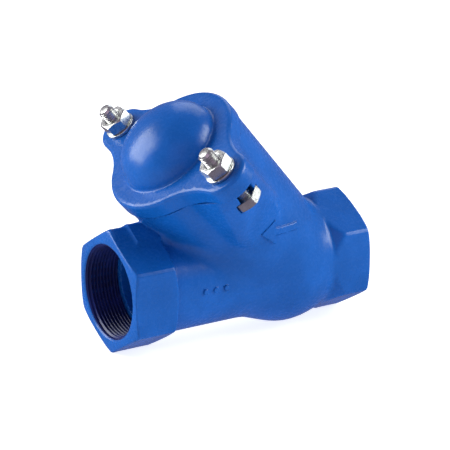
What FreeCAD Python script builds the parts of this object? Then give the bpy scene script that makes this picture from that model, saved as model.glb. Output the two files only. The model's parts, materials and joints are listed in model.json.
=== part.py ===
"""Threaded ball check valve, DN 50: inclined ball chamber, domed two-bolt cover, hexagon pipe ends.

Frame: millimetres, origin at the centre of the inlet end face, +X along the flow towards the
outlet, +Z up, and the valve is symmetric about the XZ plane. The ball chamber leans over the
outlet. Places inside it are given as (lift, across, side): lift runs up the chamber's axis from
the point where it crosses the pipe axis, across is square to it in the XZ plane, side is +Y.
"""
import FreeCAD, Part
import math
import os

V = FreeCAD.Vector

# Pipe ends
BODY_LENGTH = 173.0
HEX_WIDTH = 70.0
HEX_LENGTH = 31.0
HEX_CORNER_RADIUS = 39.8
INLET_HEX_BEVEL = 10.5
OUTLET_HEX_BEVEL = 3.0
INLET_FACE_BEVEL = 2.0
OUTLET_FACE_BEVEL = 1.5
WEB_LENGTH = 62.0
WEB_HALF_WIDTH = 12.0
THREAD_RADIUS = 29.8
INLET_THREAD_DEPTH = 19.0
OUTLET_THREAD_DEPTH = 24.0
OUTLET_PASSAGE_RADIUS = 26.0
OUTLET_PIPE_RADIUS = 32.0
VALLEY_FILLET = 6.0

# Ball chamber
CHAMBER_ANGLE = 48.0
CHAMBER_CROSSING = 51.5
CHAMBER_RADIUS = 33.5
BULGE_RADIUS = 40.0
CHAMBER_RIM_RADIUS = 44.5
RIM_LIFT = 102.5

# Ball and seat
BALL_RADIUS = 29.5
CORE_RADIUS = 24.5
SEAT_RADIUS = 23.0
SEAT_ANGLE = 14.0
SEAT_GAP = 0.3
INLET_THROAT_RADIUS = 25.0

# Cover
COVER_RADIUS = 45.5
COVER_THICKNESS = 11.5
COVER_EDGE_ROUND = 2.0
DOME_RADIUS = 33.0
DOME_HEIGHT = 23.0
DOME_CAVITY_RADIUS = 31.5
DOME_CAVITY_LIFT = 100.5
SPIGOT_DEPTH = 4.0
SPIGOT_GAP = 0.4
SPIGOT_WALL = 2.5

# Cover seal
SEAL_INNER_RADIUS = 37.3
SEAL_WIDTH = 3.0
SEAL_HEIGHT = 2.4
SEAL_GROOVE_WIDTH = 3.6
SEAL_EDGE_ROUND = 0.7

# Bolting
BOLT_SPACING = 120.0
LUG_RADIUS = 16.0
LUG_FILLET = 45.0
BODY_LUG_THICKNESS = 10.5
BOLT_HOLE_RADIUS = 5.5
BOLT_RADIUS = 5.0
BOLT_LENGTH = 40.0
BOLT_TIP_BEVEL = 1.6
CORNER_BEVEL_ANGLE = 30.0
SPANNER_SIZE = 17.0
HEAD_HEIGHT = 6.4
NUT_HEIGHT = 8.0
NUT_BORE_RADIUS = 5.05
WASHER_RADIUS = 10.0
WASHER_BORE_RADIUS = 5.25
WASHER_THICKNESS = 2.0

# Bolt pockets and the buttresses below the lugs
SLOT_HALF_WIDTH = 6.0
POCKET_HALF_WIDTH = 9.2
POCKET_DEPTH = 7.5
BUTTRESS_FOOT_LIFT = 44.0
BUTTRESS_FOOT_SIDE = 34.0
BUTTRESS_FOOT_RADIUS = 9.0
BUTTRESS_WAIST_INSET = 8.0
BUTTRESS_WAIST_RADIUS = 13.5
LUG_BODY_RADIUS = 15.0
HEAD_CLEARANCE = 0.6
SPANNER_BEVEL_SHARE = 0.95

# How far pieces run into each other before they are joined, and how far cuts run past a face
OVERLAP = 1.0
TOUCH = 0.01
SLOT_REACH = 25.0
FAR = 200.0

AXIS_X = V(1, 0, 0)
LEAN = math.radians(CHAMBER_ANGLE)
CHAMBER_AXIS = V(math.cos(LEAN), 0, math.sin(LEAN))
CROSSING = V(CHAMBER_CROSSING, 0, 0)
COVER_TOP_LIFT = RIM_LIFT + COVER_THICKNESS
HEAD_FACE_LIFT = RIM_LIFT - BODY_LUG_THICKNESS
BOLT_SIDE = BOLT_SPACING / 2
SIDES = {"left": 1, "right": -1}


def lean(shape):
    """Carry a shape built about +Z, with +X across the chamber, onto the leaning chamber axis."""
    turned = shape.copy()
    turned.rotate(V(0, 0, 0), V(0, 1, 0), CHAMBER_ANGLE * -1 + 90)
    turned.translate(CROSSING)
    return turned


def cylinder(radius, start, end):
    return Part.makeCylinder(radius, end - start, V(0, 0, start))


def x_cylinder(radius, start, end):
    return Part.makeCylinder(radius, end - start, V(start, 0, 0), AXIS_X)


def revolve_about_x(points):
    outline = Part.makePolygon([V(x, 0, r) for x, r in points + points[:1]])
    return Part.Face(outline).revolve(V(0, 0, 0), AXIS_X, 360)


def hexagon_prism(width, height):
    """A hexagon prism about +Z, with two flats facing +X and -X."""
    corner = width / math.sqrt(3)
    angles = [math.radians(30 + 60 * step) for step in range(7)]
    outline = Part.makePolygon([V(corner * math.cos(a), corner * math.sin(a), 0) for a in angles])
    return Part.Face(outline).extrude(V(0, 0, height))


def pipe_prism(length, end_x, inward):
    """A plain hexagon prism on a pipe end, with its corners up and down."""
    prism = hexagon_prism(HEX_WIDTH, length)
    prism.rotate(V(0, 0, 0), V(0, 0, 1), 90)
    prism.rotate(V(0, 0, 0), V(0, 1, 0), 90 * inward)
    prism.translate(V(end_x, 0, 0))
    return prism


def pipe_hexagon(end_x, inward, face_bevel, bevel):
    """The spanner hexagon on a pipe end, with its corners turned down at both ends."""
    straight = HEX_LENGTH - bevel
    turned = revolve_about_x([
        (end_x, 0),
        (end_x, HEX_WIDTH / 2),
        (end_x + inward * face_bevel, HEX_CORNER_RADIUS),
        (end_x + inward * straight, HEX_CORNER_RADIUS),
        (end_x + inward * HEX_LENGTH, OUTLET_PIPE_RADIUS + OVERLAP),
        (end_x + inward * HEX_LENGTH, 0),
    ])
    return pipe_prism(HEX_LENGTH, end_x, inward).common(turned)


def ridge_web():
    """Metal that carries the outlet hexagon's top ridge on to the chamber, under the cover."""
    start = BODY_LENGTH - WEB_LENGTH
    strip = Part.makeBox(WEB_LENGTH - HEX_LENGTH / 2, 2 * WEB_HALF_WIDTH, HEX_WIDTH,
                         V(start, -WEB_HALF_WIDTH, OUTLET_PASSAGE_RADIUS))
    turned = x_cylinder(HEX_CORNER_RADIUS, start, BODY_LENGTH)
    return pipe_prism(WEB_LENGTH, BODY_LENGTH, -1).common(strip).common(turned)


def cover_plan():
    """The cover's outline: a disc with a round lug each side, joined by hollow curves."""
    reach = COVER_RADIUS + LUG_FILLET
    lug_reach = LUG_RADIUS + LUG_FILLET
    cosine = (reach ** 2 + BOLT_SIDE ** 2 - lug_reach ** 2) / (2 * BOLT_SIDE * reach)
    side = reach * cosine
    across = reach * math.sqrt(1 - cosine ** 2)
    centre = V(across, side, 0)

    def toward(start, goal, distance):
        return start + (goal - start).normalize() * distance

    lug = V(0, BOLT_SIDE, 0)
    on_disc = toward(V(0, 0, 0), centre, COVER_RADIUS)
    on_lug = toward(lug, centre, LUG_RADIUS)
    middle = toward(centre, (on_disc + on_lug) * 0.5, LUG_FILLET)

    def mirrored(point, flip_x, flip_y):
        return V(point.x * flip_x, point.y * flip_y, 0)

    edges = []
    for flip_y in (1, -1):
        tip = V(0, flip_y * (BOLT_SIDE + LUG_RADIUS), 0)
        edges.append(Part.Arc(mirrored(on_lug, 1, flip_y), tip, mirrored(on_lug, -1, flip_y)).toShape())
    for flip_x in (1, -1):
        rim = V(flip_x * COVER_RADIUS, 0, 0)
        edges.append(Part.Arc(mirrored(on_disc, flip_x, 1), rim, mirrored(on_disc, flip_x, -1)).toShape())
        for flip_y in (1, -1):
            ends = [mirrored(point, flip_x, flip_y) for point in (on_disc, middle, on_lug)]
            edges.append(Part.Arc(*ends).toShape())
    return Part.Face(Part.Wire(Part.__sortEdges__(edges)))


def lug_section(lift, side, radius):
    """A round-ended strip across the chamber, from its middle out to a lug."""
    start = V(radius, 0, lift)
    corner = V(radius, side, lift)
    tip = V(0, side + radius, lift)
    far_corner = V(-radius, side, lift)
    finish = V(-radius, 0, lift)
    edges = [
        Part.LineSegment(start, corner).toShape(),
        Part.Arc(corner, tip, far_corner).toShape(),
        Part.LineSegment(far_corner, finish).toShape(),
        Part.LineSegment(finish, start).toShape(),
    ]
    return Part.Wire(edges)


def body_lug(sign):
    """The slotted lug under one side of the cover, and the buttress that carries it."""
    top = lug_section(RIM_LIFT, BOLT_SIDE, LUG_BODY_RADIUS)
    waist = lug_section(HEAD_FACE_LIFT - POCKET_DEPTH, BOLT_SIDE - BUTTRESS_WAIST_INSET,
                        BUTTRESS_WAIST_RADIUS)
    foot = lug_section(BUTTRESS_FOOT_LIFT, BUTTRESS_FOOT_SIDE, BUTTRESS_FOOT_RADIUS)
    lug = Part.makeLoft([top, waist, foot], True, True)
    if sign < 0:
        lug = lug.mirror(V(0, 0, 0), V(0, 1, 0))
    return lug


def bolt_pocket(sign):
    """The open slot for a bolt's shank and the pocket below it that holds the head from turning."""
    slot = cylinder(SLOT_HALF_WIDTH, HEAD_FACE_LIFT - OVERLAP, RIM_LIFT + OVERLAP)
    slot = slot.fuse(Part.makeBox(2 * SLOT_HALF_WIDTH, SLOT_REACH, BODY_LUG_THICKNESS + 2 * OVERLAP,
                                  V(-SLOT_HALF_WIDTH, 0, HEAD_FACE_LIFT - OVERLAP)))
    inner = SPANNER_SIZE / math.sqrt(3) + HEAD_CLEARANCE
    pocket = Part.makeBox(2 * POCKET_HALF_WIDTH, inner + SLOT_REACH, POCKET_DEPTH,
                          V(-POCKET_HALF_WIDTH, -inner, HEAD_FACE_LIFT - POCKET_DEPTH))
    both = slot.fuse(pocket)
    both.translate(V(0, BOLT_SIDE, 0))
    if sign < 0:
        both = both.mirror(V(0, 0, 0), V(0, 1, 0))
    return both


def seat_frame():
    """The seat circle's centre and its normal, which points into the chamber."""
    angle = math.radians(SEAT_ANGLE)
    normal = V(math.cos(angle), 0, math.sin(angle))
    offset = math.sqrt((BALL_RADIUS + SEAT_GAP) ** 2 - SEAT_RADIUS ** 2)
    return CROSSING - normal * offset, normal


def circle_wire(centre, normal, radius):
    return Part.Wire(Part.Circle(centre, normal, radius).toShape())


def valley_edges(shape):
    """The hollow corner where the leaning chamber meets the outlet pipe."""
    found = []
    for edge in shape.Edges:
        faces = shape.ancestorsOfType(edge, Part.Face)
        kinds = {type(face.Surface).__name__ for face in faces}
        if "Cylinder" in kinds and kinds & {"Cone", "Sphere"}:
            found.append(edge)
    return found


def chamber_outside():
    """A round bottom that runs on, without a corner, into a slight cone up to the rim."""
    slope = math.atan2(RIM_LIFT, CHAMBER_RIM_RADIUS)
    reach = math.hypot(RIM_LIFT, CHAMBER_RIM_RADIUS)
    angle = slope - math.acos(BULGE_RADIUS / reach)
    halfway = (angle - math.pi / 2) / 2

    def on_bulge(turn):
        return V(BULGE_RADIUS * math.cos(turn), 0, BULGE_RADIUS * math.sin(turn))

    bottom = V(0, 0, -BULGE_RADIUS)
    rim = V(CHAMBER_RIM_RADIUS, 0, RIM_LIFT)
    top = V(0, 0, RIM_LIFT)
    edges = [
        Part.Arc(bottom, on_bulge(halfway), on_bulge(angle)).toShape(),
        Part.LineSegment(on_bulge(angle), rim).toShape(),
        Part.LineSegment(rim, top).toShape(),
        Part.LineSegment(top, bottom).toShape(),
    ]
    return Part.Face(Part.Wire(edges)).revolve(V(0, 0, 0), V(0, 0, 1), 360)


def body_outside():
    outlet = x_cylinder(OUTLET_PIPE_RADIUS, CHAMBER_CROSSING, BODY_LENGTH - OVERLAP)
    outside = lean(chamber_outside()).fuse(outlet)
    outside = outside.makeFillet(VALLEY_FILLET, valley_edges(outside))
    for sign in SIDES.values():
        outside = outside.fuse(lean(body_lug(sign)))
    outside = outside.fuse(x_cylinder(OUTLET_PIPE_RADIUS + OVERLAP, OVERLAP, CHAMBER_CROSSING))
    outside = outside.fuse(ridge_web())
    outside = outside.fuse(pipe_hexagon(0, 1, INLET_FACE_BEVEL, INLET_HEX_BEVEL))
    return outside.fuse(pipe_hexagon(BODY_LENGTH, -1, OUTLET_FACE_BEVEL, OUTLET_HEX_BEVEL))


def thread_bore(end_x, inward, depth):
    """A threaded mouth, bored to the thread's major radius."""
    return x_cylinder(THREAD_RADIUS, *sorted([end_x - inward * OVERLAP, end_x + inward * depth]))


def body_hollow():
    seat_centre, seat_normal = seat_frame()
    hollow = Part.makeSphere(CHAMBER_RADIUS, CROSSING)
    hollow = hollow.fuse(lean(cylinder(CHAMBER_RADIUS, 0, RIM_LIFT + OVERLAP)))
    beyond = Part.makeBox(FAR, FAR, FAR, V(-FAR / 2, -FAR / 2, -FAR))
    beyond.Placement = FreeCAD.Placement(seat_centre, FreeCAD.Rotation(V(0, 0, 1), seat_normal))
    hollow = hollow.cut(beyond)
    hollow = hollow.fuse(x_cylinder(OUTLET_PASSAGE_RADIUS, CHAMBER_CROSSING, BODY_LENGTH - OVERLAP))
    throat = Part.makeLoft([
        circle_wire(V(INLET_THREAD_DEPTH - OVERLAP, 0, 0), AXIS_X, INLET_THROAT_RADIUS),
        circle_wire(seat_centre, seat_normal, SEAT_RADIUS),
        circle_wire(seat_centre + seat_normal * OVERLAP, seat_normal, SEAT_RADIUS),
    ], True, True)
    hollow = hollow.fuse(throat)
    hollow = hollow.fuse(thread_bore(0, 1, INLET_THREAD_DEPTH))
    hollow = hollow.fuse(thread_bore(BODY_LENGTH, -1, OUTLET_THREAD_DEPTH))
    return hollow


def seal_ring(width, low, high):
    middle = SEAL_INNER_RADIUS + SEAL_WIDTH / 2
    return cylinder(middle + width / 2, low, high).cut(cylinder(middle - width / 2, low, high))


def valve_body():
    body = body_outside().cut(body_hollow())
    groove = seal_ring(SEAL_GROOVE_WIDTH, RIM_LIFT - SEAL_HEIGHT, RIM_LIFT + OVERLAP)
    body = body.cut(lean(groove))
    for sign in SIDES.values():
        body = body.cut(lean(bolt_pocket(sign)))
    return body.removeSplitter()


def dome(radius, height, lift):
    shell = Part.makeSphere(radius, V(0, 0, 0), V(0, 0, 1), 0, 90, 360)
    matrix = FreeCAD.Matrix()
    matrix.scale(1, 1, height / radius)
    shell = shell.transformGeometry(matrix)
    shell.translate(V(0, 0, lift))
    return shell


def cover():
    plate = cover_plan().extrude(V(0, 0, COVER_THICKNESS))
    plate.translate(V(0, 0, RIM_LIFT))
    top_edges = [edge for edge in plate.Edges if edge.BoundBox.ZMin > COVER_TOP_LIFT - TOUCH]
    plate = plate.makeFillet(COVER_EDGE_ROUND, top_edges)
    shell = plate.fuse(dome(DOME_RADIUS, DOME_HEIGHT, COVER_TOP_LIFT - TOUCH))
    spigot_radius = CHAMBER_RADIUS - SPIGOT_GAP
    shell = shell.fuse(cylinder(spigot_radius, RIM_LIFT - SPIGOT_DEPTH, RIM_LIFT + OVERLAP))
    shell = shell.cut(cylinder(spigot_radius - SPIGOT_WALL, RIM_LIFT - SPIGOT_DEPTH - OVERLAP, RIM_LIFT))
    shell = shell.cut(Part.makeSphere(DOME_CAVITY_RADIUS, V(0, 0, DOME_CAVITY_LIFT)))
    for sign in SIDES.values():
        hole = cylinder(BOLT_HOLE_RADIUS, RIM_LIFT - OVERLAP, COVER_TOP_LIFT + OVERLAP)
        hole.translate(V(0, sign * BOLT_SIDE, 0))
        shell = shell.cut(hole)
    return lean(shell.removeSplitter())


def cover_seal():
    ring = seal_ring(SEAL_WIDTH, RIM_LIFT - SEAL_HEIGHT, RIM_LIFT)
    return lean(ring.makeFillet(SEAL_EDGE_ROUND, ring.Edges))


def bevelled_hexagon(low, high, bevels):
    """A hexagon with the corners of the named ends turned to 30 degrees."""
    corner = SPANNER_SIZE / math.sqrt(3)
    face = SPANNER_SIZE / 2 * SPANNER_BEVEL_SHARE
    drop = (corner - face) * math.tan(math.radians(CORNER_BEVEL_ANGLE))
    block = hexagon_prism(SPANNER_SIZE, high - low)
    block.translate(V(0, 0, low))
    outline = [V(0, 0, low), V(corner, 0, low), V(corner, 0, high), V(0, 0, high)]
    if "low" in bevels:
        outline[1:2] = [V(face, 0, low), V(corner, 0, low + drop)]
    if "high" in bevels:
        outline[-2:-1] = [V(corner, 0, high - drop), V(face, 0, high)]
    turned = Part.Face(Part.makePolygon(outline + outline[:1])).revolve(V(0, 0, 0), V(0, 0, 1), 360)
    return block.common(turned)


def bolt(sign):
    """A hexagon-head bolt, head down in the body's pocket and its end standing out of the nut."""
    tip = HEAD_FACE_LIFT + BOLT_LENGTH
    head = bevelled_hexagon(HEAD_FACE_LIFT - HEAD_HEIGHT, HEAD_FACE_LIFT, ["low"])
    shank = cylinder(BOLT_RADIUS, HEAD_FACE_LIFT - OVERLAP, tip - BOLT_TIP_BEVEL)
    point = Part.makeCone(BOLT_RADIUS, BOLT_RADIUS - BOLT_TIP_BEVEL, BOLT_TIP_BEVEL,
                          V(0, 0, tip - BOLT_TIP_BEVEL))
    whole = head.fuse(shank).fuse(point).removeSplitter()
    whole.translate(V(0, sign * BOLT_SIDE, 0))
    return lean(whole)


def washer(sign):
    low = COVER_TOP_LIFT
    high = low + WASHER_THICKNESS
    ring = cylinder(WASHER_RADIUS, low, high).cut(cylinder(WASHER_BORE_RADIUS, low, high))
    ring.translate(V(0, sign * BOLT_SIDE, 0))
    return lean(ring)


def nut(sign):
    low = COVER_TOP_LIFT + WASHER_THICKNESS
    high = low + NUT_HEIGHT
    block = bevelled_hexagon(low, high, ["low", "high"])
    block = block.cut(cylinder(NUT_BORE_RADIUS, low - OVERLAP, high + OVERLAP))
    block.translate(V(0, sign * BOLT_SIDE, 0))
    return lean(block)


def main():
    os.makedirs("parts", exist_ok=True)
    pieces = {
        "valve_body": valve_body(),
        "cover": cover(),
        "cover_seal": cover_seal(),
        "ball_core": Part.makeSphere(CORE_RADIUS, CROSSING),
        "ball_coating": Part.makeSphere(BALL_RADIUS, CROSSING).cut(Part.makeSphere(CORE_RADIUS, CROSSING)),
    }
    for side, sign in SIDES.items():
        pieces["cover_bolt_" + side] = bolt(sign)
        pieces["cover_washer_" + side] = washer(sign)
        pieces["cover_nut_" + side] = nut(sign)
    for name, shape in pieces.items():
        print(name, shape.isValid(), len(shape.Solids), round(shape.Volume))
        shape.exportStep("parts/" + name + ".step")


main()
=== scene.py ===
"""Looks of a threaded ball check valve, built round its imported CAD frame.

The castings are meshed from distance formulas, so that every corner has the soft round of an
epoxy-coated casting. Formulas work in millimetres, and meshes are in metres. Places in the
leaning chamber are (across, side, lift): lift runs up the chamber's axis from the ball's centre
at rest, side is +Y, and across is square to both.
"""

import json
import math

import bpy
import numpy as np
import openvdb
from mathutils import Matrix, Vector


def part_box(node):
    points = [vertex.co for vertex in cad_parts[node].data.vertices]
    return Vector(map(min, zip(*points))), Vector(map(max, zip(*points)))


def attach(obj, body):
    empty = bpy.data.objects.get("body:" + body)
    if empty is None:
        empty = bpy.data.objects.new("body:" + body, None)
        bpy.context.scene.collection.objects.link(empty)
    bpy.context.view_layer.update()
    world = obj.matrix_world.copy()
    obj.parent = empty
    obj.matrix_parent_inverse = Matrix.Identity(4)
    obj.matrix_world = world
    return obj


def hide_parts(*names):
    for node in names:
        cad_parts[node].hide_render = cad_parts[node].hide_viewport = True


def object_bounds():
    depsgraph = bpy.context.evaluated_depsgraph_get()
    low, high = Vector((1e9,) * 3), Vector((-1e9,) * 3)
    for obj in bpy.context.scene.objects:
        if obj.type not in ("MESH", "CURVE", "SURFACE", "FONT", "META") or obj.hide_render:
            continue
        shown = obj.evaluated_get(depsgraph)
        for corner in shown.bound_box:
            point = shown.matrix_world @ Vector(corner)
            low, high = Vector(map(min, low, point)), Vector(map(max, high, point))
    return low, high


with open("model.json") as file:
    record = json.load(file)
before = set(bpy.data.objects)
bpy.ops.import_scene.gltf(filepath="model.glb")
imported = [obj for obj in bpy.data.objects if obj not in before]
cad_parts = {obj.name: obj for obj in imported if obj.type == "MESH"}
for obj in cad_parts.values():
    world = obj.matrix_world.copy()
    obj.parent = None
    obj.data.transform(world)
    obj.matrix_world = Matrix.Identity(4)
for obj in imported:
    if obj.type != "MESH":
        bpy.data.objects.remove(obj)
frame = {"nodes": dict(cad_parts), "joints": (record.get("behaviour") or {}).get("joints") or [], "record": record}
cad_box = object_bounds()

MM = 0.001

# Camera, at the angle the valve is pictured from
CAMERA_AZIMUTH = 148.11
CAMERA_ELEVATION = 17.63
CAMERA_ROLL = -0.25
CAMERA_DISTANCE = 1.380
CAMERA_AIM = (0.0881, 0.0001, 0.0287)
CAMERA_LENS = 175.75

# Castings: what the frame doesn't say
HEX_ACROSS_FLATS = 70.0
HEX_LENGTH = 31.0
HEX_CORNER_RADIUS = 39.8
INLET_BEVELS = (2.0, 10.5)
OUTLET_BEVELS = (1.5, 3.0)
PIPE_RADIUS = 32.0
PASSAGE_RADIUS = 26.0
BULGE_RADIUS = 40.0
CHAMBER_RIM_RADIUS = 44.5
CHAMBER_BORE = 33.5
SEAT_RADIUS = 23.0
SEAT_ANGLE = 14.0
SEAT_GAP = 0.3
THROAT_RADIUS = 25.0
COVER_RADIUS = 45.5
LUG_RADIUS = 16.0
LUG_FILLET = 45.0
DOME_RADIUS = 33.0
DOME_HEIGHT = 23.0
DOME_CAVITY_RADIUS = 31.5
DOME_CAVITY_LIFT = 100.5
SPIGOT_DEPTH = 4.0
SPIGOT_RADIUS = 33.1
SPIGOT_WALL = 2.5
BOLT_HOLE_RADIUS = 5.5
SEAL_GROOVE_RADIUS = 38.8
SEAL_GROOVE_HALF_WIDTH = 1.8
SEAL_GROOVE_DEPTH = 2.4

# The body's lugs: two leaning side walls and an outer face that tapers down to the chamber
BUTTRESS_WALL_ANGLE = 20.0
BUTTRESS_WALLS = ((44.0, 26.0), (52.0, 30.5), (62.0, 33.5), (102.0, 35.0))
BUTTRESS_FACE = ((44.0, 39.0), (102.0, 73.5))
BUTTRESS_ROUNDS = ((44.0, 4.0), (70.0, 6.0), (100.0, 13.0))
BUTTRESS_ROOT_ROUND = 2.5
SLOT_HALF_WIDTH = 6.0
POCKET_HALF_WIDTH = 8.8
POCKET_DEPTH = 7.5
HEAD_CLEARANCE = 0.6

# Rounds of the casting
VALLEY_ROUND = 7.0
HEX_ROOT_ROUND = 1.6
WEB_ROUND = 4.0
WEB_LENGTH = 62.0
WEB_HALF_WIDTH = 12.0
HEX_EDGE_ROUND = 0.9
RIM_ROUND = 1.1
JOINT_GAP = 0.7
JOINT_INNER_RADIUS = 41.5
JOINT_PAST_PLAN = 1.5
COVER_TOP_ROUND = 2.6
DOME_ROOT_ROUND = 1.6
MOUTH_ROUND = 0.5
POCKET_ROUND = 1.2
PASSAGE_ROUND = 1.5
CAVITY_ROUND = 0.5
HOLE_ROUND = 0.3

# Raised marks on both sides: a flow arrow on the chamber and three pips on the pipe
MARK_HEIGHT = 1.1
MARK_ROUND = 0.5
ARROW_CENTRE = (74.0, 34.0)
ARROW_LENGTH = 30.0
ARROW_HEAD = 11.0
ARROW_HALF_WIDTH = 8.0
ARROW_SHAFT_HALF_WIDTH = 2.2
PIP_CENTRES = (107.0, 114.5, 122.0)
PIP_RADIUS = 1.8

# Pipe thread: 11 turns an inch
PIPE_PITCH = 25.4 / 11
PIPE_THREAD_DEPTH = 0.64 * PIPE_PITCH
LEAD_IN = 1.0

# The share of a thread's flank that is flat at the root, and again at the crest
THREAD_FLAT = 0.14

# M10 fasteners
BOLT_RADIUS = 5.0
TIP_BEVEL = 1.6
HEAD_HEIGHT = 6.4
BOLT_PITCH = 1.5
BOLT_THREAD_DEPTH = 0.61 * BOLT_PITCH
WASHER_BORE_RADIUS = 5.25
NUT_BORE_RADIUS = 5.05
NUT_COUNTERSINK = 0.7

# The ball's rubber coat and the fine line that its mould leaves
COAT_CLEARANCE = 0.15
MOULD_LINE_HEIGHT = 0.12
MOULD_LINE_DEGREES = 0.9

# How finely the castings are meshed
BODY_STEP = 0.6
COVER_STEP = 0.5
ADAPTIVITY = 0.04
MESH_MARGIN = 1.5
MESH_HALF_WIDTH = 78.0
BODY_MESH_LOW = -42.5
COVER_MESH_ACROSS = 47.0
SLAB_ROWS = 24
SURFACE_REACH = 0.02
NORMAL_REACH = 0.15
LEAST_SLOPE_SQUARED = 0.2


# ---------------------------------------------------------------- what the frame says

def nodes_points(node):
    mesh = frame["nodes"][node].data
    flat = np.empty(len(mesh.vertices) * 3)
    mesh.vertices.foreach_get("co", flat)
    return flat.reshape(-1, 3) / MM


LIFT_AXIS = np.array(frame["joints"][0]["axis"])
ACROSS_AXIS = np.array([LIFT_AXIS[2], 0.0, -LIFT_AXIS[0]])
ball_low, ball_high = (np.array(corner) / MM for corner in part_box("ball_coating"))
CROSSING = (ball_low + ball_high) / 2
BALL_RADIUS = (ball_high - ball_low)[0] / 2
BODY_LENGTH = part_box("valve_body")[1].x / MM
MOUNTS = {mount["name"]: mount for mount in frame["record"]["mounts"]}
THREAD_RADIUS = MOUNTS["outlet"]["dims"]["r_mm"]
OUTLET_DEPTH = MOUNTS["outlet"]["dims"]["length_mm"]
INLET_DEPTH = MOUNTS["inlet"]["dims"]["length_mm"]


def lifts(node):
    """The lowest and highest lift of a CAD node."""
    along = (nodes_points(node) - CROSSING) @ LIFT_AXIS
    return along.min(), along.max()


RIM_LIFT = lifts("cover_seal")[1]
COVER_TOP = lifts("cover_washer_left")[0]
WASHER_TOP = lifts("cover_washer_left")[1]
NUT_TOP = lifts("cover_nut_left")[1]
HEAD_BOTTOM, BOLT_TIP = lifts("cover_bolt_left")
washer_low, washer_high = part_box("cover_washer_left")
BOLT_SIDE = (washer_low.y + washer_high.y) / 2 / MM
WASHER_RADIUS = (washer_high.y - washer_low.y) / 2 / MM
nut_low, nut_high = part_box("cover_nut_left")
SPANNER_CORNER = (nut_high.y - nut_low.y) / 2 / MM
HEAD_FACE = HEAD_BOTTOM + HEAD_HEIGHT
SIDES = {"left": 1, "right": -1}


# ---------------------------------------------------------------- distance formulas

def join(a, b, radius):
    """Two shapes as one, with a hollow round of that radius where they meet."""
    return np.maximum(radius, np.minimum(a, b)) - np.hypot(
        np.maximum(radius - a, 0), np.maximum(radius - b, 0))


def cut(a, b, radius):
    """Shape a with b taken out, and a round on the edge."""
    return -join(-a, b, radius)


def meet(a, b, radius):
    """What two shapes share, with a round on the edge."""
    return -join(-a, -b, radius)


def chamber_places(x, y, z):
    """(across, side, lift) of points in the row frame."""
    dx = x - CROSSING[0]
    dz = z - CROSSING[2]
    return (dx * ACROSS_AXIS[0] + dz * ACROSS_AXIS[2], np.abs(y),
            dx * LIFT_AXIS[0] + dz * LIFT_AXIS[2])


def cover_plan_centre():
    """The centre of the hollow curve between the cover's disc and its lug."""
    reach = COVER_RADIUS + LUG_FILLET
    lug_reach = LUG_RADIUS + LUG_FILLET
    side = (reach ** 2 + BOLT_SIDE ** 2 - lug_reach ** 2) / (2 * BOLT_SIDE)
    return np.array([math.sqrt(reach ** 2 - side ** 2), side])


def cover_plan(across, side):
    """Distance in plan to the cover's outline: a disc, two round lugs and hollow curves between."""
    centre = cover_plan_centre()
    lug = np.array([0.0, BOLT_SIDE])
    to_disc = -centre
    to_lug = lug - centre
    dx = np.abs(across) - centre[0]
    dy = side - centre[1]
    in_curve = (to_disc[0] * dy - to_disc[1] * dx < 0) & (dx * to_lug[1] - dy * to_lug[0] < 0)
    disc = np.hypot(across, side) - COVER_RADIUS
    round_lug = np.hypot(across, side - BOLT_SIDE) - LUG_RADIUS
    return np.where(in_curve, LUG_FILLET - np.hypot(dx, dy), np.minimum(disc, round_lug))


def chamber_outside(rho, lift):
    """A round bottom that runs on into a slight cone up to the rim."""
    slope = math.atan2(RIM_LIFT, CHAMBER_RIM_RADIUS)
    reach = math.hypot(RIM_LIFT, CHAMBER_RIM_RADIUS)
    angle = slope - math.acos(BULGE_RADIUS / reach)
    cone = rho * math.cos(angle) + lift * math.sin(angle)
    along = lift * math.cos(angle) - rho * math.sin(angle)
    return np.where(along > 0, cone, np.hypot(rho, lift)) - BULGE_RADIUS


def hexagon_flats(y, z):
    """Distance to the sides of a hexagon with its corners up and down."""
    lean = math.radians(60)
    across_y = np.abs(y)
    slanted = across_y * math.cos(lean) + np.abs(z) * math.sin(lean)
    return np.maximum(across_y, slanted) - HEX_ACROSS_FLATS / 2


def turned_down(rho, from_end, start, low, length):
    """Distance to a cone that runs down from the hexagon's corners to a smaller radius."""
    fall = HEX_CORNER_RADIUS - low
    past = (from_end - start) * fall + (rho - HEX_CORNER_RADIUS) * length
    return past / math.hypot(length, fall)


def hexagon(y, z, from_end, bevels):
    """The spanner hexagon on a pipe end, its corners turned down at both ends."""
    rho = np.hypot(y, z)
    face_bevel, bevel = bevels
    sides = np.maximum(hexagon_flats(y, z), rho - HEX_CORNER_RADIUS)
    middle = HEX_LENGTH / 2
    block = meet(sides, np.abs(from_end - middle) - middle, HEX_EDGE_ROUND)
    outer = turned_down(rho, -from_end, -face_bevel, HEX_ACROSS_FLATS / 2, face_bevel)
    inner = turned_down(rho, from_end, HEX_LENGTH - bevel, PIPE_RADIUS + 1, bevel)
    return meet(meet(block, inner, HEX_EDGE_ROUND), outer, HEX_EDGE_ROUND)


def web(x, y, z):
    """Metal that carries the outlet hexagon's top ridge on to the chamber, under the cover."""
    ends = np.maximum(x - BODY_LENGTH + HEX_LENGTH / 2, BODY_LENGTH - WEB_LENGTH - x)
    sides = np.maximum(hexagon_flats(y, z), np.hypot(y, z) - HEX_CORNER_RADIUS)
    return np.maximum(np.maximum(sides, np.abs(y) - WEB_HALF_WIDTH), np.maximum(ends, -z))


def at_lift(table, lift):
    """A size that changes up the chamber, given as pairs of lift and size."""
    levels, sizes = zip(*table)
    return np.interp(lift, levels, sizes)


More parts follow.
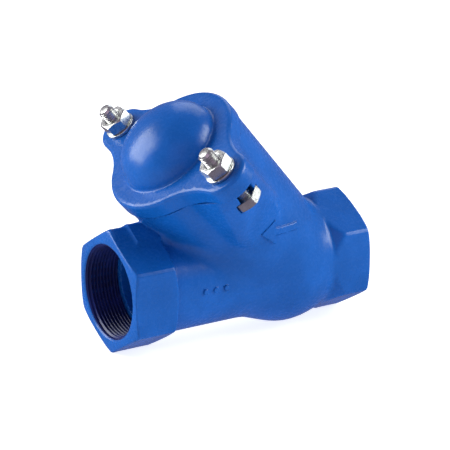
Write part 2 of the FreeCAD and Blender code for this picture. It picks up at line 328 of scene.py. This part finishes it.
def body_lug(across, side, lift):
    """The lug under the cover's lug, and the buttress that carries it down to the chamber."""
    lean = math.radians(BUTTRESS_WALL_ANGLE)
    wall = np.abs(across) * math.cos(lean) + side * math.sin(lean) - at_lift(BUTTRESS_WALLS, lift)
    (foot, foot_side), (rim, rim_side) = BUTTRESS_FACE
    slope = (rim_side - foot_side) / (rim - foot)
    face = (side - foot_side - (lift - foot) * slope) / math.hypot(1, slope)
    lug = meet(wall, face, at_lift(BUTTRESS_ROUNDS, lift))
    return np.maximum(lug, foot - lift)


def bolt_pocket(across, side, lift):
    """The open slot for the shank, and the pocket below it that keeps the head from turning."""
    slot = np.hypot(across, np.maximum(BOLT_SIDE - side, 0)) - SLOT_HALF_WIDTH
    slot = np.maximum(slot, HEAD_FACE - 1 - lift)
    inner = BOLT_SIDE - SPANNER_CORNER - HEAD_CLEARANCE
    pocket = np.maximum(np.abs(across) - POCKET_HALF_WIDTH, inner - side)
    pocket = np.maximum(pocket, np.abs(lift - HEAD_FACE + POCKET_DEPTH / 2) - POCKET_DEPTH / 2)
    return slot, pocket


def cast_marks(x, z):
    """Plan of the raised marks, seen along Y: an arrow that points to the outlet, and pips."""
    along = x - ARROW_CENTRE[0]
    up = np.abs(z - ARROW_CENTRE[1])
    neck = ARROW_LENGTH / 2 - ARROW_HEAD
    half_shaft = (neck + ARROW_LENGTH / 2) / 2
    shaft = np.maximum(up - ARROW_SHAFT_HALF_WIDTH, np.abs(along - neck + half_shaft) - half_shaft)
    slope = ARROW_HALF_WIDTH / ARROW_HEAD
    point = (up + (along - ARROW_LENGTH / 2) * slope) / math.hypot(1, slope)
    marks = np.minimum(shaft, np.maximum(point, neck - along))
    for centre in PIP_CENTRES:
        marks = np.minimum(marks, np.hypot(x - centre, z) - PIP_RADIUS)
    return marks


def mouth(rho, from_end, depth):
    """A threaded mouth with a bevelled lead-in."""
    bore = np.maximum(rho - THREAD_RADIUS, from_end - depth)
    bevel = (rho - THREAD_RADIUS - LEAD_IN + from_end) * math.sqrt(0.5)
    return np.minimum(bore, bevel)


def hollow(x, y, z, rho_x, rho, lift):
    """The water's way through the body: both mouths, throat, seat, chamber and outlet passage."""
    angle = math.radians(SEAT_ANGLE)
    normal = np.array([math.cos(angle), 0.0, math.sin(angle)])
    offset = math.sqrt((BALL_RADIUS + SEAT_GAP) ** 2 - SEAT_RADIUS ** 2)
    seat = CROSSING - normal * offset
    past_seat = (x - seat[0]) * normal[0] + (z - seat[2]) * normal[2]
    chamber = np.where(lift > 0, rho, np.hypot(rho, lift)) - CHAMBER_BORE
    chamber = np.maximum(chamber, -past_seat)
    share = np.clip((x - INLET_DEPTH) / (seat[0] - INLET_DEPTH), 0, 1.2)
    throat_radius = THROAT_RADIUS - (THROAT_RADIUS - SEAT_RADIUS) * share
    throat = np.hypot(y, z - seat[2] * share) - throat_radius
    throat = np.maximum(throat, past_seat - 1)
    throat = np.maximum(throat, INLET_DEPTH - 1 - x)
    passage = np.maximum(rho_x - PASSAGE_RADIUS, CROSSING[0] - x)
    inside = join(chamber, passage, PASSAGE_ROUND)
    inside = np.minimum(inside, throat)
    inside = np.minimum(inside, mouth(rho_x, x, INLET_DEPTH))
    return np.minimum(inside, mouth(rho_x, BODY_LENGTH - x, OUTLET_DEPTH))


def valve_body(x, y, z):
    """The body's casting, in the row frame."""
    across, side, lift = chamber_places(x, y, z)
    rho = np.hypot(across, side)
    rho_x = np.hypot(y, z)
    chamber = meet(chamber_outside(rho, lift), lift - RIM_LIFT, RIM_ROUND)
    lug = meet(body_lug(across, side, lift), lift - RIM_LIFT, RIM_ROUND)
    outside = join(chamber, lug, BUTTRESS_ROOT_ROUND)
    outside = np.maximum(outside, lift - RIM_LIFT)
    pipe = rho_x - np.where(x < CROSSING[0], PIPE_RADIUS + 1, PIPE_RADIUS)
    pipe = np.maximum(pipe, np.abs(x - BODY_LENGTH / 2) - BODY_LENGTH / 2 + 2)
    outside = join(outside, pipe, VALLEY_ROUND)
    outside = join(outside, hexagon(y, z, x, INLET_BEVELS), HEX_ROOT_ROUND)
    outside = join(outside, hexagon(y, z, BODY_LENGTH - x, OUTLET_BEVELS), HEX_ROOT_ROUND)
    outside = join(outside, web(x, y, z), WEB_ROUND)
    outside = np.minimum(outside, meet(outside - MARK_HEIGHT, cast_marks(x, z), MARK_ROUND))
    slot, pocket = bolt_pocket(across, side, lift)
    outside = cut(outside, np.minimum(slot, pocket), POCKET_ROUND)
    joint = np.maximum(cover_plan(across, side) - JOINT_PAST_PLAN, JOINT_INNER_RADIUS - rho)
    joint = np.maximum(joint, np.abs(lift - RIM_LIFT + JOINT_GAP / 2) - JOINT_GAP / 2)
    outside = np.maximum(outside, -joint)
    shell = cut(outside, hollow(x, y, z, rho_x, rho, lift), MOUTH_ROUND)
    groove = np.abs(rho - SEAL_GROOVE_RADIUS) - SEAL_GROOVE_HALF_WIDTH
    groove = np.maximum(groove, RIM_LIFT - SEAL_GROOVE_DEPTH - lift)
    return np.maximum(shell, -groove)


def cover(across, side, lift):
    """The cover's casting, in the chamber's places."""
    side = np.abs(side)
    rho = np.hypot(across, side)
    plan = cover_plan(across, side)
    plate = meet(plan, lift - COVER_TOP, COVER_TOP_ROUND)
    plate = meet(plate, RIM_LIFT - lift, RIM_ROUND)
    up = np.maximum(lift - COVER_TOP, 0) / DOME_HEIGHT
    k0 = np.hypot(rho / DOME_RADIUS, up)
    k1 = np.hypot(rho / DOME_RADIUS ** 2, up / DOME_HEIGHT)
    dome = k0 * (k0 - 1) / np.maximum(k1, 1e-6)
    dome = np.maximum(dome, COVER_TOP - 2 - lift)
    shell = join(plate, dome, DOME_ROOT_ROUND)
    spigot = np.maximum(rho - SPIGOT_RADIUS, np.abs(lift - RIM_LIFT) - SPIGOT_DEPTH)
    shell = np.minimum(shell, spigot)
    recess = np.maximum(rho - SPIGOT_RADIUS + SPIGOT_WALL, lift - RIM_LIFT)
    cavity = np.hypot(rho, lift - DOME_CAVITY_LIFT) - DOME_CAVITY_RADIUS
    shell = cut(shell, np.minimum(recess, cavity), CAVITY_ROUND)
    hole = np.hypot(across, side - BOLT_SIDE) - BOLT_HOLE_RADIUS
    return cut(shell, hole, HOLE_ROUND)


# ---------------------------------------------------------------- meshes

def slope_of(distance, points, reach):
    """The direction in which the distance grows, at each point."""
    gradient = np.empty_like(points)
    for axis in range(3):
        step = np.zeros(3)
        step[axis] = reach
        gradient[:, axis] = distance(*(points + step).T) - distance(*(points - step).T)
    return gradient / (2 * reach)


def mesh_of(name, distance, low, high, step):
    """The mesh where a distance formula is nought, and its normals. The formula is even in side."""
    spans = [np.arange(low[axis], high[axis] + step, step) for axis in range(3)]
    spans[1] = np.arange(0, high[1] + step, step)
    band = 3 * step
    slabs = []
    for start in range(0, len(spans[0]), SLAB_ROWS):
        rows = spans[0][start:start + SLAB_ROWS]
        places = np.meshgrid(rows, spans[1], spans[2], indexing="ij")
        values = distance(*(place_of.ravel() for place_of in places))
        slabs.append(np.clip(values, -band, band).astype(np.float32).reshape(places[0].shape))
    half = np.concatenate(slabs)
    whole = np.concatenate([half[:, :0:-1], half], axis=1)
    grid = openvdb.FloatGrid(band)
    grid.copyFromArray(whole)
    points, triangles, quads = grid.convertToPolygons(isovalue=0, adaptivity=ADAPTIVITY)
    corner = np.array([spans[0][0], -spans[1][-1], spans[2][0]])
    points = points.astype(float) * step + corner
    for _ in range(3):
        gradient = slope_of(distance, points, SURFACE_REACH)
        size = np.maximum((gradient ** 2).sum(1), LEAST_SLOPE_SQUARED)
        off = np.clip(distance(*points.T), -step, step)
        points = points - gradient * (off / size)[:, None]
    normals = slope_of(distance, points, NORMAL_REACH)
    normals /= np.maximum(np.linalg.norm(normals, axis=1), 1e-9)[:, None]
    mesh = bpy.data.meshes.new(name)
    mesh.from_pydata((points * MM).tolist(), [], triangles.tolist() + quads.tolist())
    return mesh, normals


def leaning():
    """The matrix that carries (across, side, lift), in metres, into the row frame."""
    turn = Matrix(np.column_stack([ACROSS_AXIS, [0, 1, 0], LIFT_AXIS]).tolist()).to_4x4()
    return Matrix.Translation(Vector(CROSSING * MM)) @ turn


def place(mesh, body, replaced, material, matrix=None):
    """A piece from a mesh, on its body and in its slot, in the stead of a CAD node or of none."""
    if matrix is not None:
        mesh.transform(matrix)
    piece = bpy.data.objects.new(mesh.name, mesh)
    bpy.context.scene.collection.objects.link(piece)
    mesh.materials.append(material)
    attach(piece, body)
    if replaced:
        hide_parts(replaced)
    return piece


def grid_mesh(name, rings, closed_ends=True):
    """A closed mesh through rings of points. Without end faces the last ring joins the first."""
    count = len(rings[0])
    points = [point for ring in rings for point in ring]
    faces = []
    total = len(rings)
    for ring in range(total - 1 if closed_ends else total):
        here = ring * count
        after = (ring + 1) % total * count
        for step in range(count):
            beside = (step + 1) % count
            faces.append((here + step, here + beside, after + beside, after + step))
    if closed_ends:
        faces.append(tuple(range(count))[::-1])
        faces.append(tuple((total - 1) * count + step for step in range(count)))
    mesh = bpy.data.meshes.new(name)
    mesh.from_pydata([tuple(value * MM for value in point) for point in points], [], faces)
    return mesh


def thread_wave(along, pitch):
    """0 at a thread's root and 1 at its crest, with both a little flat."""
    share = np.abs((along / pitch) % 1 - 0.5) * 2
    return np.clip((share - THREAD_FLAT) / (1 - 2 * THREAD_FLAT), 0, 1)


def smooth_step(value):
    value = np.clip(value, 0, 1)
    return value * value * (3 - 2 * value)


def even_turns(count):
    return np.linspace(0, 2 * math.pi, count, endpoint=False)


def ring_points(radius, height, count):
    """Points around +Z, with one radius and height or one for each point."""
    turns = even_turns(count)
    heights = np.broadcast_to(height, count)
    return np.column_stack([radius * np.cos(turns), radius * np.sin(turns), heights]).tolist()


def pipe_thread(name, depth):
    """The turns of the pipe thread on the wall of a mouth, along +Z from the end face."""
    count = 160
    turns = even_turns(count)
    start = LEAD_IN * 0.8
    finish = depth - 0.2
    root = THREAD_RADIUS - 0.08
    behind_wall = THREAD_RADIUS + 0.3
    rows = np.arange(start, finish, PIPE_PITCH / 12)
    rings = []
    for height in rows:
        crest = thread_wave(height - PIPE_PITCH * turns / (2 * math.pi), PIPE_PITCH)
        fade = smooth_step((height - start) / PIPE_PITCH)
        fade = fade * smooth_step((finish - height) / PIPE_PITCH)
        rings.append(ring_points(root - PIPE_THREAD_DEPTH * crest * fade, height, count))
    for height in (rows[-1], rows[0]):
        rings.append(ring_points(behind_wall, height, count))
    mesh = grid_mesh(name, rings, closed_ends=False)
    mesh.flip_normals()
    mesh.shade_smooth()
    return mesh


def shank_mesh(name):
    """A bolt's shank with its thread cut to the tip, on +Z with lift as height."""
    count = 48
    turns = even_turns(count)
    crest = BOLT_RADIUS - 0.02
    rings = []
    for height in np.arange(HEAD_FACE - 0.5, BOLT_TIP, BOLT_PITCH / 8):
        wave = 1 - thread_wave(height - BOLT_PITCH * turns / (2 * math.pi), BOLT_PITCH)
        limit = BOLT_RADIUS - np.clip(height - (BOLT_TIP - TIP_BEVEL), 0, TIP_BEVEL)
        rings.append(ring_points(np.minimum(crest - BOLT_THREAD_DEPTH * wave, limit), height, count))
    tip = BOLT_RADIUS - TIP_BEVEL
    rings.append(ring_points(tip, BOLT_TIP - 0.05, count))
    rings.append(ring_points(tip - 0.15, BOLT_TIP, count))
    return grid_mesh(name, rings)


def hexagon_mesh(name, low, high, bevels, bore):
    """A hexagon block on +Z, corners turned down at the ends named, with a bore unless it is 0."""
    count = 60
    flat = SPANNER_CORNER * math.cos(math.radians(30))
    reach = flat / np.cos(even_turns(count) % (math.pi / 3) - math.pi / 6)
    face = flat * 0.95
    drop = (reach - face) * math.tan(math.radians(30))
    profile = [(face, low), (reach, low + drop)] if "low" in bevels else [(reach, low)]
    profile += [(reach, high - drop), (face, high)] if "high" in bevels else [(reach, high)]
    if bore:
        wide = bore + NUT_COUNTERSINK
        profile += [(wide, high), (bore, high - NUT_COUNTERSINK)]
        profile += [(bore, low + NUT_COUNTERSINK), (wide, low)]
    rings = [ring_points(radius, height, count) for radius, height in profile]
    return grid_mesh(name, rings, closed_ends=not bore)


def ring_mesh(name, inner, outer, low, high, edge):
    """A flat ring on +Z with rounded edges."""
    count = 96
    profile = []
    corners = ((outer, low, -90), (outer, high, 0), (inner, high, 90), (inner, low, 180))
    for radius, height, start in corners:
        inward = -edge if radius == outer else edge
        upward = edge if height == low else -edge
        for step in range(4):
            turn = math.radians(start + 30 * step)
            profile.append((radius + inward + edge * math.cos(turn),
                            height + upward + edge * math.sin(turn)))
    rings = [ring_points(radius, height, count) for radius, height in profile]
    return grid_mesh(name, rings, closed_ends=False)


def ball_mesh(name):
    """The outer skin of the ball's rubber coat, with its mould line around the middle."""
    around = 128
    rows = 96
    rings = []
    for row in range(1, rows):
        turn = math.pi * row / rows - math.pi / 2
        line = MOULD_LINE_HEIGHT * math.exp(-(math.degrees(turn) / MOULD_LINE_DEGREES) ** 2)
        radius = BALL_RADIUS - COAT_CLEARANCE + line
        rings.append(ring_points(radius * math.cos(turn), radius * math.sin(turn), around))
    return grid_mesh(name, rings)


# ---------------------------------------------------------------- materials

def material_nodes(name):
    material = bpy.data.materials.new(name)
    material.use_nodes = True
    return material, material.node_tree.nodes, material.node_tree.links


def add(nodes, kind, **values):
    """A node of that kind with its sockets or settings set by name."""
    node = nodes.new(kind)
    for key, value in values.items():
        if key in node.inputs:
            node.inputs[key].default_value = value
        else:
            setattr(node, key, value)
    return node


def noise(nodes, links, coordinates, size, detail=3.0, roughness=0.5):
    """Noise whose spots are about that many millimetres across."""
    node = add(nodes, "ShaderNodeTexNoise", Scale=1 / (size * MM), Detail=detail, Roughness=roughness)
    links.new(coordinates.outputs["Object"], node.inputs["Vector"])
    return node


def ramp(nodes, links, source, stops):
    node = nodes.new("ShaderNodeValToRGB")
    elements = node.color_ramp.elements
    while len(elements) < len(stops):
        elements.new(0.5)
    for element, (position, colour) in zip(elements, stops):
        element.position = position
        element.color = (*colour, 1)
    links.new(source, node.inputs["Fac"])
    return node


def span(nodes, links, source, low, high):
    node = add(nodes, "ShaderNodeMapRange")
    node.inputs["To Min"].default_value = low
    node.inputs["To Max"].default_value = high
    links.new(source, node.inputs["Value"])
    return node


def bump(nodes, links, heights):
    """One bump after another: pairs of a height and how many millimetres it stands."""
    previous = None
    for source, depth in heights:
        node = add(nodes, "ShaderNodeBump", Distance=depth * MM, Strength=1.0)
        links.new(source, node.inputs["Height"])
        if previous:
            links.new(previous.outputs["Normal"], node.inputs["Normal"])
        previous = node
    return previous


def epoxy(name, shades, gloss):
    """Blue epoxy over a sand casting: shine, fine peel, and the casting's slow waves below."""
    material, nodes, links = material_nodes(name)
    shader = nodes["Principled BSDF"]
    place_of = nodes.new("ShaderNodeTexCoord")
    clouds = noise(nodes, links, place_of, 22.0, 4.0)
    grain = noise(nodes, links, place_of, 0.9, 2.0)
    peel = noise(nodes, links, place_of, 2.6, 2.0)
    waves = noise(nodes, links, place_of, 14.0, 2.0)
    colour = ramp(nodes, links, clouds.outputs["Fac"], [(0.35, shades[0]), (0.65, shades[1])])
    links.new(colour.outputs["Color"], shader.inputs["Base Color"])
    rough = span(nodes, links, peel.outputs["Fac"], gloss - 0.06, gloss + 0.08)
    links.new(rough.outputs["Result"], shader.inputs["Roughness"])
    heights = [(waves.outputs["Fac"], 0.35), (peel.outputs["Fac"], 0.06), (grain.outputs["Fac"], 0.02)]
    relief = bump(nodes, links, heights)
    links.new(relief.outputs["Normal"], shader.inputs["Normal"])
    shader.inputs["Specular IOR Level"].default_value = 0.3
    return material


def stainless(name):
    """Bright rolled and turned stainless steel with fine marks."""
    material, nodes, links = material_nodes(name)
    shader = nodes["Principled BSDF"]
    place_of = nodes.new("ShaderNodeTexCoord")
    clouds = noise(nodes, links, place_of, 3.0, 4.0)
    scratches = noise(nodes, links, place_of, 0.35, 2.0)
    stops = [(0.3, (0.55, 0.56, 0.53)), (0.7, (0.74, 0.75, 0.72))]
    colour = ramp(nodes, links, clouds.outputs["Fac"], stops)
    links.new(colour.outputs["Color"], shader.inputs["Base Color"])
    shader.inputs["Metallic"].default_value = 1.0
    rough = span(nodes, links, clouds.outputs["Fac"], 0.2, 0.36)
    links.new(rough.outputs["Result"], shader.inputs["Roughness"])
    relief = bump(nodes, links, [(scratches.outputs["Fac"], 0.012)])
    links.new(relief.outputs["Normal"], shader.inputs["Normal"])
    return material


def rubber(name, shades):
    """Dull black rubber with a slight bloom."""
    material, nodes, links = material_nodes(name)
    shader = nodes["Principled BSDF"]
    place_of = nodes.new("ShaderNodeTexCoord")
    bloom = noise(nodes, links, place_of, 9.0, 4.0)
    grain = noise(nodes, links, place_of, 0.5, 2.0)
    colour = ramp(nodes, links, bloom.outputs["Fac"], [(0.35, shades[0]), (0.7, shades[1])])
    links.new(colour.outputs["Color"], shader.inputs["Base Color"])
    rough = span(nodes, links, bloom.outputs["Fac"], 0.42, 0.6)
    links.new(rough.outputs["Result"], shader.inputs["Roughness"])
    relief = bump(nodes, links, [(grain.outputs["Fac"], 0.02)])
    links.new(relief.outputs["Normal"], shader.inputs["Normal"])
    return material


def cast_metal(name):
    """Bare grey metal with the pits of a casting."""
    material, nodes, links = material_nodes(name)
    shader = nodes["Principled BSDF"]
    place_of = nodes.new("ShaderNodeTexCoord")
    pits = noise(nodes, links, place_of, 1.2, 4.0)
    stops = [(0.3, (0.42, 0.42, 0.43)), (0.7, (0.60, 0.60, 0.60))]
    colour = ramp(nodes, links, pits.outputs["Fac"], stops)
    links.new(colour.outputs["Color"], shader.inputs["Base Color"])
    shader.inputs["Metallic"].default_value = 1.0
    rough = span(nodes, links, pits.outputs["Fac"], 0.4, 0.6)
    links.new(rough.outputs["Result"], shader.inputs["Roughness"])
    relief = bump(nodes, links, [(pits.outputs["Fac"], 0.08)])
    links.new(relief.outputs["Normal"], shader.inputs["Normal"])
    return material


# ---------------------------------------------------------------- pieces

BLUE = ((0.003, 0.088, 0.37), (0.005, 0.106, 0.44))
# A darker copy of the blue epoxy for the pipe threads: painted shade, standing for the shadow deep inside the
# mouths.
THREAD_BLUE_PAINTED_SHADE = ((0.003, 0.008, 0.07), (0.006, 0.018, 0.14))
BALL_BLACK = ((0.02, 0.02, 0.02), (0.04, 0.04, 0.042))
SEAL_BLACK = ((0.02, 0.02, 0.02), (0.035, 0.035, 0.035))


def casting(name, distance, low, high, step, matrix, replaced, material):
    """A casting's skin, shaded with the normals of its formula."""
    mesh, normals = mesh_of(name, distance, low, high, step)
    mesh.shade_smooth()
    if matrix is not None:
        mesh.transform(matrix)
        turn = np.array(matrix.to_3x3())
        normals = normals @ turn.T
    mesh.normals_split_custom_set_from_vertices(normals.tolist())
    mesh.update()
    place(mesh, "body", replaced, material)


def make_castings():
    blue = epoxy("blue_epoxy", BLUE, 0.26)
    top = max(corner[2] for corner in nodes_points("valve_body")) + 2
    low = (-MESH_MARGIN, 0, BODY_MESH_LOW)
    high = (BODY_LENGTH + MESH_MARGIN, MESH_HALF_WIDTH, top)
    casting("valve_body_skin", valve_body, low, high, BODY_STEP,
            None, "valve_body", blue)
    low = (-COVER_MESH_ACROSS, 0, RIM_LIFT - SPIGOT_DEPTH - MESH_MARGIN)
    high = (COVER_MESH_ACROSS, MESH_HALF_WIDTH, COVER_TOP + DOME_HEIGHT + MESH_MARGIN)
    casting("cover_skin", cover, low, high, COVER_STEP,
            leaning(), "cover", blue)


def make_threads():
    # The threads take the darker copy of the blue epoxy, painted shade for the shadow inside the mouths.
    painted_shade_blue = epoxy("thread_epoxy_painted_shade", THREAD_BLUE_PAINTED_SHADE, 0.3)
    inward = Matrix.Rotation(math.radians(90), 4, "Y")
    place(pipe_thread("inlet_thread", INLET_DEPTH), "body", None, painted_shade_blue, inward)
    outward = Matrix.Rotation(math.radians(-90), 4, "Y")
    outward = Matrix.Translation(Vector((BODY_LENGTH * MM, 0, 0))) @ outward
    place(pipe_thread("outlet_thread", OUTLET_DEPTH), "body", None, painted_shade_blue, outward)


def join_meshes(name, meshes):
    """One mesh that holds several closed ones."""
    points, faces = [], []
    for mesh in meshes:
        offset = len(points)
        points += [tuple(vertex.co) for vertex in mesh.vertices]
        faces += [tuple(offset + index for index in polygon.vertices) for polygon in mesh.polygons]
    whole = bpy.data.meshes.new(name)
    whole.from_pydata(points, [], faces)
    return whole


def soften(piece, width, angle):
    """A small bevel on the piece's sharp edges, smooth shading elsewhere."""
    modifier = piece.modifiers.new("edges", "BEVEL")
    modifier.width = width * MM
    modifier.segments = 2
    modifier.limit_method = "ANGLE"
    modifier.angle_limit = math.radians(angle)
    piece.data.shade_smooth()
    piece.data.set_sharp_from_angle(angle=math.radians(angle))


def make_fasteners():
    steel = stainless("stainless_steel")
    for name, sign in SIDES.items():
        matrix = leaning() @ Matrix.Translation(Vector((0, sign * BOLT_SIDE * MM, 0)))
        turned = matrix @ Matrix.Rotation(math.radians(30), 4, "Z")
        shank = shank_mesh("shank")
        head = hexagon_mesh("head", HEAD_BOTTOM, HEAD_FACE, ["low"], 0)
        bolt = join_meshes("cover_bolt_" + name + "_steel", [shank, head])
        bolt = place(bolt, "body", "cover_bolt_" + name, steel, turned)
        soften(bolt, 0.15, 50)
        washer = ring_mesh("cover_washer_" + name + "_steel",
                           WASHER_BORE_RADIUS, WASHER_RADIUS, COVER_TOP, WASHER_TOP, 0.35)
        washer = place(washer, "body", "cover_washer_" + name, steel, matrix)
        soften(washer, 0.05, 30)
        nut = hexagon_mesh("cover_nut_" + name + "_steel",
                           WASHER_TOP, NUT_TOP, ["low", "high"], NUT_BORE_RADIUS)
        nut = place(nut, "body", "cover_nut_" + name, steel, turned)
        soften(nut, 0.2, 25)


def make_ball():
    coat = ball_mesh("ball_coating_rubber")
    matrix = Matrix.Translation(Vector(CROSSING * MM))
    black = rubber("ball_rubber", BALL_BLACK)
    piece = place(coat, "ball", "ball_coating", black, matrix)
    piece.data.shade_smooth()


def paint_cad_node(node, material):
    """A material and a slot for a CAD node that no piece replaces."""
    mesh = frame["nodes"][node].data
    mesh.materials.clear()
    mesh.materials.append(material)


# ---------------------------------------------------------------- stage

def direction(azimuth, elevation):
    """The way to a viewer at that azimuth and elevation: azimuth 0 looks along +Y and 90 along -X."""
    a = math.radians(azimuth)
    e = math.radians(elevation)
    return Vector((math.sin(a) * math.cos(e), -math.cos(a) * math.cos(e), math.sin(e)))


def make_camera():
    data = bpy.data.cameras.new("camera")
    data.lens = CAMERA_LENS
    data.clip_start = 0.05
    data.clip_end = 50
    camera = bpy.data.objects.new("camera", data)
    back = direction(CAMERA_AZIMUTH, CAMERA_ELEVATION)
    camera.location = Vector(CAMERA_AIM) + back * CAMERA_DISTANCE
    camera.rotation_mode = "QUATERNION"
    roll = Matrix.Rotation(math.radians(CAMERA_ROLL), 4, "Z").to_quaternion()
    camera.rotation_quaternion = (-back).to_track_quat("-Z", "Y") @ roll
    bpy.context.scene.collection.objects.link(camera)
    bpy.context.scene.camera = camera


def area_light(name, azimuth, elevation, distance, size, power, colour):
    data = bpy.data.lights.new(name, "AREA")
    data.shape = "SQUARE"
    data.size = size
    data.energy = power
    data.color = colour
    light = bpy.data.objects.new(name, data)
    back = direction(azimuth, elevation)
    light.location = Vector(CAMERA_AIM) + back * distance
    light.rotation_mode = "QUATERNION"
    light.rotation_quaternion = (-back).to_track_quat("-Z", "Y")
    bpy.context.scene.collection.objects.link(light)


def make_stage():
    floor_mesh = bpy.data.meshes.new("floor")
    reach = 6.0
    level = cad_box[0].z
    signs = ((-1, -1), (1, -1), (1, 1), (-1, 1))
    corners = [(reach * x, reach * y, level) for x, y in signs]
    floor_mesh.from_pydata(corners, [], [(0, 1, 2, 3)])
    floor = bpy.data.objects.new("floor", floor_mesh)
    bpy.context.scene.collection.objects.link(floor)
    floor.visible_glossy = False
    material, nodes, links = material_nodes("pale_floor")
    shader = nodes["Principled BSDF"]
    shader.inputs["Base Color"].default_value = (0.6, 0.6, 0.6, 1)
    shader.inputs["Roughness"].default_value = 0.9
    shader.inputs["Emission Color"].default_value = (1, 1, 1, 1)
    shader.inputs["Emission Strength"].default_value = 0.8
    floor_mesh.materials.append(material)

    world = bpy.data.worlds.new("studio")
    world.use_nodes = True
    background = world.node_tree.nodes["Background"]
    background.inputs["Color"].default_value = (0.85, 0.74, 1.0, 1)
    background.inputs["Strength"].default_value = 0.25
    bpy.context.scene.world = world
    area_light("left_softbox", 50, 24, 1.6, 1.1, 30, (0.97, 1.0, 0.97))
    area_light("right_softbox", 240, 30, 1.6, 1.0, 26, (0.95, 1.0, 0.98))
    area_light("back_softbox", 320, 40, 1.6, 1.0, 5, (0.85, 0.93, 1.0))
    area_light("front_fill", 140, 32, 1.8, 1.4, 2, (1.0, 0.6, 0.95))
    bpy.context.scene.view_settings.view_transform = "Standard"


make_camera()
make_stage()
make_castings()
make_threads()
make_fasteners()
make_ball()
paint_cad_node("ball_core", cast_metal("cast_core"))
paint_cad_node("cover_seal", rubber("seal_rubber", SEAL_BLACK))
